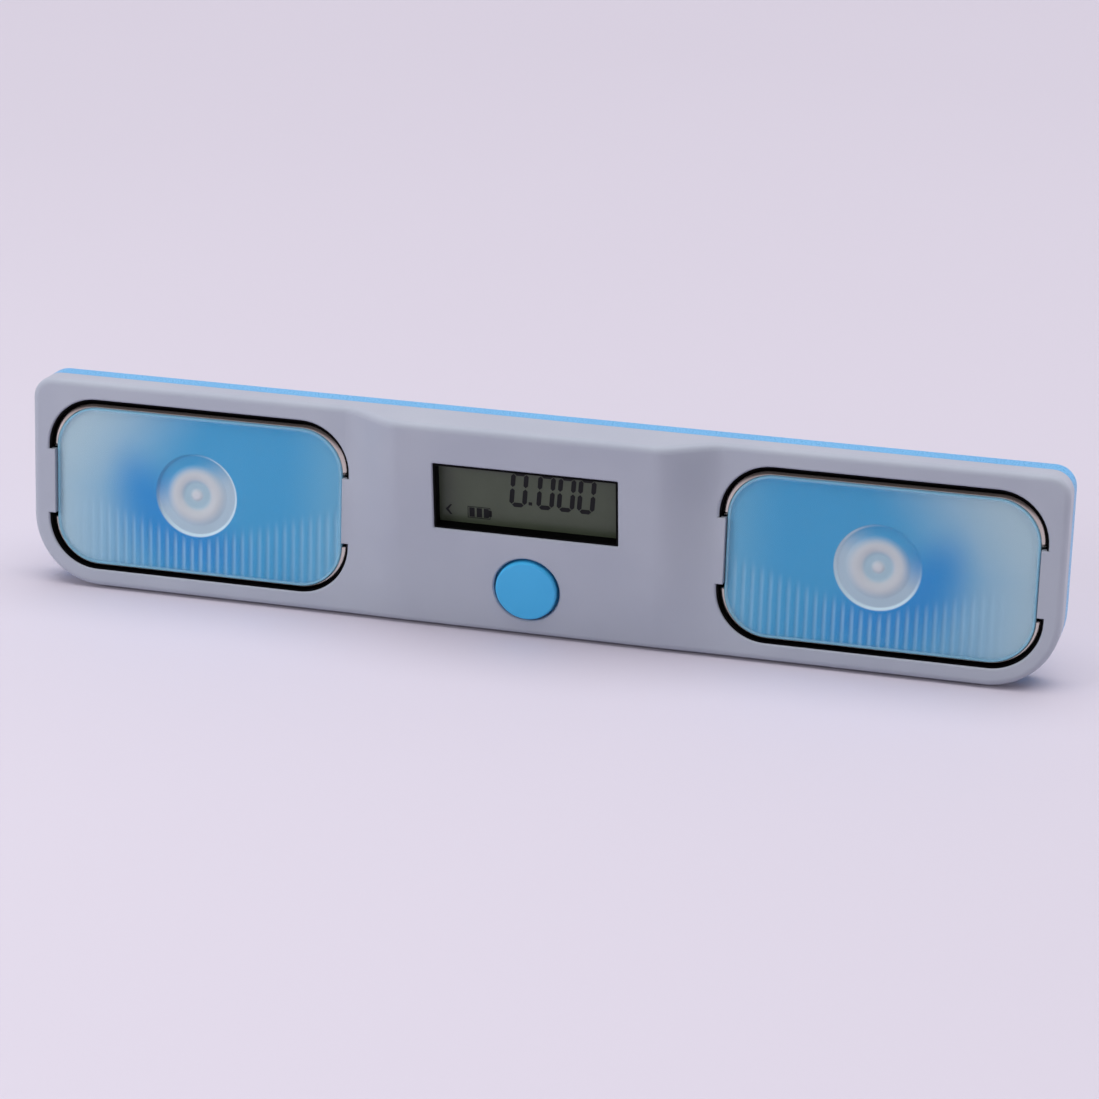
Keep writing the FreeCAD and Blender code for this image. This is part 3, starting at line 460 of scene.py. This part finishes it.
def clear_cover():
    """Polished polycarbonate, clear with fine drag marks and a painted highlight along its edge.

    The way inwards from the outline is the corner radius less the length of what |u| and
    |z| have beyond the middles of the corner arcs.
    """
    material, tree, shader = new_material("pad_cover_polycarbonate", IOR=1.58)
    low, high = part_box("right_pad_lens")
    place = place_in_mm(tree)
    folded = add(tree, "ShaderNodeVectorMath", {0: place}, operation="ABSOLUTE")
    u_and_z = add(tree, "ShaderNodeVectorMath",
                  {0: folded.outputs[0], 1: (PAD_X / MM, 0.0, PAD_Z / MM)},
                  operation="SUBTRACT")
    u_and_z = add(tree, "ShaderNodeVectorMath", {0: u_and_z.outputs[0]}, operation="ABSOLUTE")
    arc_middle = ((high.x - low.x) / 2 / MM - COVER_CORNER, 1000.0,
                  (high.z - low.z) / 2 / MM - COVER_CORNER)
    beyond = add(tree, "ShaderNodeVectorMath", {0: u_and_z.outputs[0], 1: arc_middle},
                 operation="SUBTRACT")
    beyond = add(tree, "ShaderNodeVectorMath", {0: beyond.outputs[0], 1: (0.0, 0.0, 0.0)},
                 operation="MAXIMUM")
    beyond = add(tree, "ShaderNodeVectorMath", {0: beyond.outputs[0]}, operation="LENGTH")
    # Painted highlight: a pale blue band just inside the cover's outline, which is also made
    # more solid there.
    edge_highlight = in_range(tree, beyond.outputs["Value"], COVER_CORNER - 0.9, COVER_CORNER - 0.2)

    haze = add(tree, "ShaderNodeTexNoise", {"Vector": place, "Scale": 1 / 14, "Detail": 2.0})
    tint = blend_colours(tree, haze.outputs["Fac"], linear("#9CC4DA"), linear("#A8CCE0"))
    tint = blend_colours(tree, edge_highlight, tint, linear("#93CFE9"))
    tree.links.new(tint, shader.inputs["Base Color"])
    solid = add(tree, "ShaderNodeMapRange", {"Value": edge_highlight, "To Min": 0.04, "To Max": 0.5})
    tree.links.new(solid.outputs["Result"], shader.inputs["Alpha"])
    marks = add(tree, "ShaderNodeTexNoise",
                {"Vector": add(tree, "ShaderNodeMapping",
                               {"Vector": place, "Scale": (0.2, 1, 1)}).outputs["Vector"],
                 "Scale": 1 / 0.5, "Detail": 3.0})
    rough = add(tree, "ShaderNodeMapRange",
                {"Value": marks.outputs["Fac"], "To Min": 0.12, "To Max": 0.26})
    tree.links.new(rough.outputs["Result"], shader.inputs["Roughness"])
    return material


pad_cover = clear_cover()
print("pad finishes made")

# %% [markdown]
# ## Shape of a pad plate
#
# The plate, its flutes and its eye are one closed surface. It is built from rings, like
# an onion seen from the front: the first rings are circles that draw the eye's dish, then
# the rings swell from the eye's circle to the plate's rounded outline, and the last ones
# go round the edge and close the back. The depth of every point is then a formula of its
# place, so the flutes can fade out softly at their tops, which a milling cutter in a
# solid modeller can't do.

# %% Rings of a pad plate
def rounded_outline(half_width, half_height, radius, side_points, arc_points):
    """Points (n, 2) anticlockwise round a rectangle with round corners, from its right side.

    Each corner is an arc of arc_points, and each straight side adds points between two
    corners, so outlines with the same counts match point by point.
    """
    turn = np.linspace(0, np.pi / 2, arc_points)
    centres = np.array([[1, 1], [-1, 1], [-1, -1], [1, -1]]) * [half_width - radius,
                                                               half_height - radius]
    corners = [centres[k] + radius * np.stack([np.cos(turn + k * np.pi / 2),
                                               np.sin(turn + k * np.pi / 2)], axis=-1)
               for k in range(4)]
    share = np.linspace(0, 1, side_points + 2)[1:-1, None]
    sections = []
    for k in range(4):
        sections.append(corners[k])
        sections.append(corners[k][-1] * (1 - share) + corners[(k + 1) % 4][0] * share)
    return np.concatenate(sections)


def smoothstep(low, high, value):
    """0 up to low, 1 from high, and 3t^2 - 2t^3 between."""
    t = np.clip((value - low) / (high - low), 0, 1)
    return t * t * (3 - 2 * t)


PLATE_CORNER = 10.3
FLUTE_PITCH = 2.1
FLUTE_DEPTH = 0.25
FLUTE_SHORT = 8.5                   # height of the flutes below the eye
FLUTE_LONG = 19.8                   # and at the plate's sides
AIR_GAP = 0.06                      # between the cover and the plate


def flute_depth(u, z, half_width, half_height):
    """How far a flute sinks the face: a row of round grooves times a fade at their tops.

    The grooves are the upper half of a cosine across u, with the eye's middle between two
    of them. The height at which they fade grows in step with the distance from the eye,
    and on the outer side, where u is positive, they also fade towards the end of the bar.
    """
    groove = np.clip(-np.cos(2 * np.pi * u / FLUTE_PITCH), 0, 1) ** 0.8
    top = FLUTE_SHORT + (FLUTE_LONG - FLUTE_SHORT) * np.abs(u) / half_width
    height = z + half_height
    return groove * smoothstep(top + 1.0, top - 4.0, height) * smoothstep(33, 18, u)


def eye_depth(r):
    """How far the eye sinks at radius r: a dish with a round ridge and a bead in it."""
    dish = 0.6 * smoothstep(EYE_RADIUS, EYE_RADIUS - 0.5, r)
    lip = -0.12 * np.exp(-((r - EYE_RADIUS - 0.1) / 0.22) ** 2)
    ridge = 0.5 * np.clip(np.cos((r - 5.2) * np.pi / 4.4), 0, 1) * (np.abs(r - 5.2) < 2.2)
    bead = 0.35 * np.sqrt(np.clip(1 - (r / 1.3) ** 2, 0, 1))
    return dish + lip - ridge - bead


# %% Build the pad plates
def build_pad_plate(side):
    """Closed surface of rings: eye circles, face from circle to outline, edge and back."""
    node = side + "_pad_diffuser"
    low, high = (np.array(corner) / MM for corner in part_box(node))
    centre = (low + high) / 2
    half_width, half_height = (high - low)[0] / 2, (high - low)[2] / 2
    outline = rounded_outline(half_width, half_height, PLATE_CORNER, 130, 40)
    centre[0] += EYE_SHIFT
    outline = outline - [EYE_SHIFT, 0]
    outwards = 1 if side == "right" else -1
    angle = np.arctan2(outline[:, 1], outline[:, 0])
    circle = np.stack([np.cos(angle), np.sin(angle)], axis=-1)
    eye_end = EYE_RADIUS + 0.6
    radii = np.linspace(0.05, eye_end, 46)[:, None, None]
    spread = np.linspace(0, 1, 72)[1:, None, None]
    plan = np.concatenate([radii * circle, (1 - spread) * eye_end * circle + spread * outline])
    r = np.hypot(plan[..., 0], plan[..., 1])
    u = outwards * plan[..., 0]
    flutes = flute_depth(u, plan[..., 1], half_width, half_height)
    depth = np.maximum(eye_depth(r) + FLUTE_DEPTH * flutes * (r > eye_end), 0)
    front = low[1] + AIR_GAP + depth
    back = np.full((1, len(outline)), high[1])
    plan = np.concatenate([plan, outline[None], 0.02 * outline[None]])
    y = np.concatenate([front, back, back])
    points = np.stack([plan[..., 0] + centre[0], y, plan[..., 1] + centre[2]], axis=-1)
    rows, columns = y.shape
    first = np.arange(columns)[None, ::-1]
    last = (rows - 1) * columns + np.arange(columns)[None, :]
    piece = new_piece(side + "_pad_plate", points * MM,
                      [loops_to_faces(rows, columns, True), first, last],
                      pad_plate, "case", [node])
    # Painted highlights held on the points: a pale line along the plate's front edge, and pale
    # streaks in the flutes, strongest near the eye's middle.
    rim_highlight = np.zeros((rows, columns))
    rim_highlight[-4:-2] = np.array([0.25, 0.7])[:, None]
    weight = 0.25 + 0.16 * np.exp(-(u / 9) ** 2)
    flute_highlight = np.concatenate([weight * flutes * (r > eye_end), np.zeros((2, columns))])
    for name, values in (("flute", flute_highlight), ("rim_highlight", rim_highlight)):
        layer = piece.data.attributes.new(name, "FLOAT", "POINT")
        layer.data.foreach_set("value", values.ravel().astype(np.float32))
    return piece


for side in ("left", "right"):
    build_pad_plate(side)

# %% [markdown]
# ## The trim in the slots
#
# A bright nickel strip follows each pad round two of its corners. It is wider beside the
# pad's short sides than over its long ones, and its face falls away from the pad in a
# slope that gets steeper. So it mirrors the ceiling above a pad and only the black lining
# below it. A profile carried along a path gives that: the strip's inner and outer edge
# are two rounded outlines with matching points, and a curve falls from one to the other.

# %% Build the trim strips
TRIM_GAP = 0.15
TRIM_CORNER = 11.1
TRIM_DROP = 0.35                    # how far the outer edge lies below the inner one
SIDE_POINTS, ARC_POINTS = 40, 24    # along a straight side and round a corner


def build_trim(side, place):
    """A slope from the inner outline to the outer one, carried along both.

    At t from 0 to 1 across the strip, the point is inner + (outer - inner) * t in plan,
    and it lies TRIM_DROP * (0.5 t + 0.5 t^2) below the inner edge. Flanks and a back
    close the section, and the two ends are flat.
    """
    node = side + "_" + place + "_trim"
    low, high = (np.array(corner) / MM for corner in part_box(node))
    pad_low, pad_high = (np.array(corner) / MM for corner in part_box(side + "_pad_lens"))
    half = (pad_high - pad_low) / 2
    centre = (pad_high + pad_low) / 2
    rise = high[2] - centre[2] if place == "upper" else centre[2] - low[2]
    inner = rounded_outline(half[0] + TRIM_GAP, half[2] + TRIM_GAP,
                            PLATE_CORNER + TRIM_GAP, SIDE_POINTS, ARC_POINTS)
    outer = rounded_outline((high - low)[0] / 2, rise, TRIM_CORNER, SIDE_POINTS, ARC_POINTS)
    start = low[2] - centre[2] if place == "upper" else centre[2] - high[2]
    begin = np.array([[inner[0, 0], start]]), np.array([[outer[0, 0], start]])
    finish = begin[0] * [-1, 1], begin[1] * [-1, 1]
    span = slice(0, ARC_POINTS + SIDE_POINTS + ARC_POINTS)
    inner = np.concatenate([begin[0], inner[span], finish[0]])
    outer = np.concatenate([begin[1], outer[span], finish[1]])
    t = np.linspace(0, 1, 13)
    across = np.concatenate([[0], t, [1]])
    depth = low[1] + TRIM_DROP * (0.5 * across + 0.5 * across ** 2)
    depth[[0, -1]] = high[1]
    across = across[None, :, None]
    plan = inner[:, None, :] * (1 - across) + outer[:, None, :] * across
    upright = 1 if place == "upper" else -1
    points = np.stack([plan[..., 0] + centre[0],
                       np.broadcast_to(depth, plan.shape[:2]),
                       upright * plan[..., 1] + centre[2]], axis=-1)
    rows, columns = plan.shape[:2]
    ends = [np.arange(columns)[None, ::-1], (rows - 1) * columns + np.arange(columns)[None, :]]
    return new_piece(side + "_" + place + "_trim_strip", points * MM,
                     [loops_to_faces(rows, columns, True)] + ends,
                     trim_nickel, "case", [node])


for side in ("left", "right"):
    for place in ("upper", "lower"):
        build_trim(side, place)

# %% [markdown]
# ## Digits on the display
#
# A liquid crystal display draws each digit with seven bars. A bar is a long hexagon, and
# neighbouring bars meet in a narrow diagonal gap. All bars are one table of hexagons, and
# a slight slant is a shear: x grows with the height. The battery and a small pointed mark
# beside it are drawn the same way, each from tables of six corners.

# %% Bars of the digits
DIGIT_WIDTH, DIGIT_HEIGHT = 3.05, 7.9  # between the middles of the outer bars
DIGIT_WAIST = 4.25                     # from the lowest bar to the middle one
BAR_HALF, BAR_GAP = 0.54, 0.14
DIGIT_SLANT = math.tan(math.radians(5))
DIGIT_LEFTS = (-4.13, 2.27, 7.07, 11.82)   # x of each digit's left bars at the digits' foot
DIGIT_FOOT = 31.35                     # up the slope to the middle of the lowest bars
INK, INK_GAP = 0.03, 0.02              # thickness of the bars and gap to the cell


def bar_between(start, end):
    """Long hexagon from start to end with pointed tips, as six corners (6, 2)."""
    start, end = np.array(start, float), np.array(end, float)
    ahead = (end - start) / np.linalg.norm(end - start)
    aside = np.array([-ahead[1], ahead[0]]) * BAR_HALF
    start, end = start + ahead * BAR_GAP, end - ahead * BAR_GAP
    shoulder = ahead * BAR_HALF
    return np.array([start, start + shoulder - aside, end - shoulder - aside,
                     end, end - shoulder + aside, start + shoulder + aside])


W, M, H = DIGIT_WIDTH, DIGIT_WAIST, DIGIT_HEIGHT
BARS = {"a": ((0, H), (W, H)), "b": ((W, M), (W, H)), "c": ((W, 0), (W, M)),
        "d": ((0, 0), (W, 0)), "e": ((0, 0), (0, M)), "f": ((0, M), (0, H))}
ZERO = "abcdef"


def rectangle(x0, x1, up0, up1):
    """Six corners of a rectangle, two of them halfway along its long sides."""
    middle = (x0 + x1) / 2
    return np.array([[x0, up0], [middle, up0], [x1, up0], [x1, up1], [middle, up1], [x0, up1]])


# %% Build everything that the display shows
def build_display_marks():
    """All hexagons as thin slabs just in front of the cell."""
    zero = np.stack([bar_between(*BARS[letter]) for letter in ZERO])
    digits = np.concatenate([zero + [left, DIGIT_FOOT] for left in DIGIT_LEFTS])
    digits[..., 0] += (digits[..., 1] - DIGIT_FOOT) * DIGIT_SLANT
    point = rectangle(-0.05, 0.8, DIGIT_FOOT + 0.2, DIGIT_FOOT + 1.0)
    cell = [rectangle(-14.6, -9.2, 26.9, 27.05), rectangle(-14.6, -9.2, 29.65, 29.8),
            rectangle(-14.6, -14.45, 26.9, 29.8), rectangle(-9.35, -9.2, 26.9, 29.8)]
    charge = [rectangle(-14.2, -12.95, 27.2, 29.5), rectangle(-12.45, -11.2, 27.2, 29.5),
              rectangle(-10.75, -9.55, 27.2, 29.5), rectangle(-9.55, -8.85, 27.6, 29.1)]
    pointed = [np.array([[-19.9, 28.55], [-18.75, 27.3], [-18.3, 27.3],
                         [-19.2, 28.55], [-18.3, 29.8], [-18.75, 29.8]])]
    marks = np.concatenate([digits, np.stack([point] + cell + charge + pointed)])
    glass = GLASS_DEPTH / MM
    points = np.stack([on_slope(marks[..., 0], glass - INK_GAP - INK, marks[..., 1]),
                       on_slope(marks[..., 0], glass - INK_GAP, marks[..., 1])], axis=1)
    count = len(marks)
    base = np.arange(count)[:, None] * 12
    ring = np.arange(6)
    caps = np.concatenate([base + ring, base + 6 + ring[::-1]])
    sides = np.stack([base + ring, base + (ring + 1) % 6, base + 6 + (ring + 1) % 6,
                      base + 6 + ring], axis=-1).reshape(-1, 4)
    return new_piece("display_marks", points * MM, [caps, sides], segment_ink, "case",
                     smooth=False)


build_display_marks()

# %% [markdown]
# ## Finishes for the CAD nodes
#
# The nodes keep their meshes. Each one only gets its finish in its material slots.

# %% Dress the nodes
finish_of = {
    shell_grey: ["front_shell"],
    shell_blue: ["back_shell", "battery_cap"],
    button_blue: ["power_button"],
    black_abs: ["lcd_bezel", "switch_body", "switch_plunger", "buzzer",
                "left_pad_cradle", "right_pad_cradle"],
    chip_epoxy: ["controller_chip", "board_components"],
    board_green: ["main_board", "left_sensor_board", "right_sensor_board"],
    display_glass: ["lcd_glass"],
    display_back: ["lcd_reflector"],
    seal_rubber: ["zebra_strips"],
    foot_rubber: ["rubber_feet"],
    screw_zinc: ["case_screws", "board_screws", "sensor_board_screws", "crystal"],
    cell_nickel: ["coin_cell"],
    spring_brass: ["cell_contact_plus", "cell_contact_minus", "left_touch_ring",
                   "right_touch_ring"],
    socket_nylon: ["main_sockets", "left_sensor_socket", "right_sensor_socket"],
    led_epoxy: ["left_pad_led", "right_pad_led"],
    cable_vinyl: ["left_sensor_cable", "right_sensor_cable"],
    pad_cover: ["left_pad_lens", "right_pad_lens"],
    pad_plate: ["left_pad_diffuser", "right_pad_diffuser"],
    trim_nickel: [side + place + "_trim" for side in ("left_", "right_")
                  for place in ("upper", "lower")],
}
for material, names in finish_of.items():
    for name in names:
        slots = nodes[name].data.materials
        slots.clear()
        slots.append(material)
print("dressed:", sum(map(len, finish_of.values())), "of", len(nodes))

# %% [markdown]
# ## Floor, light and camera
#
# The timer stands on a pale seamless floor and leans back a little on its rear edge, so
# that a dark line shows under its front edge. The timer itself stays upright in its
# frame, and the floor is turned about that rear edge instead. A wide sun overhead is the
# ceiling's soft light, a panel on the left lifts the left end, and one on the right and
# a little behind lights the end wall and the floor beside it. The room is pale all
# round and darker above the front, where a photographer would hold a black card, and
# mirrors show that same room, so the trim over a pad shows as a dark line.

# %% Floor
FRONT_GAP, END_DEPTH = 0.6, 12      # mm under the front edge, and how deep the ends are
FLOOR_TILT = math.atan(FRONT_GAP / END_DEPTH)
FLOOR_REACH = 8.0                   # metres from the middle to the floor's edges


def pale_floor():
    """Matt painted board: one colour with a slow, faint mottle."""
    material, tree, shader = new_material("floor_matt_paint", Roughness=0.7)
    place = place_in_mm(tree)
    mottle = add(tree, "ShaderNodeTexNoise", {"Vector": place, "Scale": 1 / 300})
    tint = blend_colours(tree, mottle.outputs["Fac"], linear("#CAC3D1"), linear("#CDC6D4"))
    tree.links.new(tint, shader.inputs["Base Color"])
    return material


rear_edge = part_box("back_shell")[1].y
y = np.array([-1, -1, 1, 1]) * FLOOR_REACH
corners = np.stack([np.array([-1, 1, 1, -1]) * FLOOR_REACH, y,
                    (y - rear_edge) * math.tan(FLOOR_TILT)], axis=-1)
mesh = bpy.data.meshes.new("floor")
mesh.from_pydata(corners.tolist(), [], [(0, 1, 2, 3)])
mesh.materials.append(pale_floor())
floor = bpy.data.objects.new("floor", mesh)
bpy.context.scene.collection.objects.link(floor)
print("floor is", FRONT_GAP, "mm below the front edge and touches at y =",
      round(rear_edge / MM, 2))

# %% Surroundings
world = bpy.data.worlds.new("surroundings")
world.use_nodes = True
bpy.context.scene.world = world
tree = world.node_tree
ambient = tree.nodes["Background"]
ambient.inputs["Color"].default_value = linear("#F5F4F6")
ambient.inputs["Strength"].default_value = 0.33
path = add(tree, "ShaderNodeLightPath")
way = add(tree, "ShaderNodeSeparateXYZ",
          {0: add(tree, "ShaderNodeTexCoord").outputs["Generated"]})
above_front = add(tree, "ShaderNodeMath",
                  {0: in_range(tree, way.outputs["Z"], 0.0, 0.3),
                   1: in_range(tree, way.outputs["Y"], 0.2, -0.1)}, operation="MULTIPLY")
room = blend_colours(tree, above_front.outputs[0], linear("#DDD3E3"), linear("#4A4648"))
seen = add(tree, "ShaderNodeBackground", {"Color": room, "Strength": 1.0})
either = add(tree, "ShaderNodeMath",
             {0: path.outputs["Is Camera Ray"], 1: path.outputs["Is Glossy Ray"]},
             operation="MAXIMUM")
either = add(tree, "ShaderNodeMath",
             {0: either.outputs[0], 1: path.outputs["Is Transmission Ray"]},
             operation="MAXIMUM")
mixed = add(tree, "ShaderNodeMixShader",
            {0: either.outputs[0], 1: ambient.outputs[0], 2: seen.outputs[0]})
tree.links.new(mixed.outputs[0], tree.nodes["World Output"].inputs["Surface"])


# %% Lamps
def new_lamp(name, kind, place, aim, **settings):
    """A lamp at place that faces aim and shows in no mirror; settings go onto the lamp."""
    lamp = bpy.data.lights.new(name, kind)
    for key, value in settings.items():
        setattr(lamp, key, value)
    lamp_object = bpy.data.objects.new(name, lamp)
    lamp_object.location = place
    lamp_object.rotation_euler = (Vector(aim) - Vector(place)).to_track_quat(
        "-Z", "Y").to_euler()
    lamp_object.visible_glossy = False
    bpy.context.scene.collection.objects.link(lamp_object)


new_lamp("ceiling", "SUN", (0.06, -0.06, 0.98), (0, 0, 0), energy=2.55,
         angle=math.radians(62))
new_lamp("left_panel", "AREA", (-0.72, -0.60, 0.30), (-0.08, 0, 0.03), shape="RECTANGLE",
         size=0.40, size_y=0.16, energy=3.3)
new_lamp("right_panel", "AREA", (1.00, 0.28, 0.18), (0.12, 0, 0.01), shape="RECTANGLE",
         size=0.50, size_y=0.20, energy=1.8)
print("lamps set")

# %% Camera
AZIMUTH, ELEVATION, ROLL = 14.571, 16.734, 1.816      # degrees
DISTANCE = 813.99 * MM
AIM = Vector((4.121, -0.055, 20.398)) * MM
LENS = 115.918                                        # on a 36 mm wide sensor

turn, rise = math.radians(AZIMUTH), math.radians(ELEVATION)
backwards = Vector((math.sin(turn) * math.cos(rise), -math.cos(turn) * math.cos(rise),
                    math.sin(rise)))
camera = bpy.data.objects.new("camera", bpy.data.cameras.new("camera"))
camera.data.lens = LENS
camera.data.sensor_width = 36
camera.location = AIM + DISTANCE * backwards
camera.rotation_euler = (-backwards).to_track_quat("-Z", "Y").to_euler()
camera.rotation_euler.rotate_axis("Z", math.radians(ROLL))
bpy.context.scene.collection.objects.link(camera)
bpy.context.scene.camera = camera
bpy.context.scene.view_settings.view_transform = "Standard"
